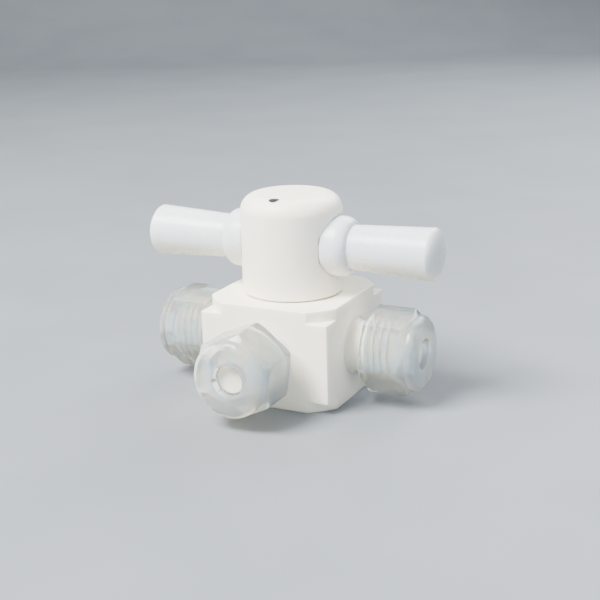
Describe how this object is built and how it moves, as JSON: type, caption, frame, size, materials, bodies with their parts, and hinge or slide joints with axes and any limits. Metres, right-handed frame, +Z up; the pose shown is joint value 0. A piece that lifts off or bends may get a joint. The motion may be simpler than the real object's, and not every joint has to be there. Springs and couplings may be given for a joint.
{
  "type": "three way valve",
  "caption": "Square fluoropolymer valve body with union nut tube ports on its sides and a rotary handle with cross bars on a round hub, which turns a T-bored ball.",
  "frame": {"origin": "centre of the turned foot's underside, which is on the handle's axis", "axes": "+Z up along the handle's axis, the two in-line ports and the handle bars along X, the branch port towards -Y"},
  "size_m": [0.0888, 0.0584, 0.0561],
  "materials": {
    "ptfe_white": "machined white fluoropolymer with faint turning marks",
    "ptfe_seat": "smooth white fluoropolymer",
    "pfa_milky": "milky translucent moulded fluoropolymer",
    "pfa_clear": "semi-clear bluish moulded fluoropolymer",
    "fluoro_rubber": "smooth black elastomer",
    "black_inlay": "flat black filled mark"
  },
  "bodies": {
    "body": {"valve_body": "ptfe_white", "bonnet": "ptfe_white", "bonnet_o_ring": "fluoro_rubber", "seat_right": "ptfe_seat", "seat_left": "ptfe_seat", "seat_front": "ptfe_seat"},
    "handle": {"ball": "ptfe_seat", "stem": "ptfe_seat", "stem_o_ring_lower": "fluoro_rubber", "stem_o_ring_upper": "fluoro_rubber", "thrust_washer": "ptfe_seat", "handle_hub": "ptfe_white", "indicator_dot": "black_inlay", "handle_bar_right": "pfa_milky", "handle_bar_left": "pfa_milky"},
    "right_gland": {"compression_sleeve_right": "ptfe_seat", "blanking_plug_right": "ptfe_white"},
    "right_nut": {"union_nut_right": "pfa_clear"},
    "left_gland": {"compression_sleeve_left": "ptfe_seat", "blanking_plug_left": "ptfe_white"},
    "left_nut": {"union_nut_left": "pfa_clear"},
    "front_gland": {"compression_sleeve_front": "ptfe_seat", "blanking_plug_front": "ptfe_white"},
    "front_nut": {"union_nut_front": "pfa_clear"}
  },
  "joints": [
    {"name": "handle_turn", "type": "hinge", "parent": "body", "child": "handle", "pos_m": [0, 0, 0.0423], "axis": [0, 0, 1], "continuous": true},
    {"name": "right_gland_travel", "type": "slide", "parent": "body", "child": "right_gland", "axis": [1, 0, 0], "range_m": [0, 0.009]},
    {"name": "right_nut_turn", "type": "hinge", "parent": "right_gland", "child": "right_nut", "pos_m": [0.03, 0, 0.01425], "axis": [1, 0, 0], "range_deg": [0, 1620]},
    {"name": "left_gland_travel", "type": "slide", "parent": "body", "child": "left_gland", "axis": [-1, 0, 0], "range_m": [0, 0.009]},
    {"name": "left_nut_turn", "type": "hinge", "parent": "left_gland", "child": "left_nut", "pos_m": [-0.03, 0, 0.01425], "axis": [-1, 0, 0], "range_deg": [0, 1620]},
    {"name": "front_gland_travel", "type": "slide", "parent": "body", "child": "front_gland", "axis": [0, -1, 0], "range_m": [0, 0.009]},
    {"name": "front_nut_turn", "type": "hinge", "parent": "front_gland", "child": "front_nut", "pos_m": [0, -0.03, 0.01425], "axis": [0, -1, 0], "range_deg": [0, 1620]}
  ],
  "couplings": [
    {"joint": "right_gland_travel", "follows": "right_nut_turn", "m_per_rad": 0.00031831},
    {"joint": "left_gland_travel", "follows": "left_nut_turn", "m_per_rad": 0.00031831},
    {"joint": "front_gland_travel", "follows": "front_nut_turn", "m_per_rad": 0.00031831}
  ]
}
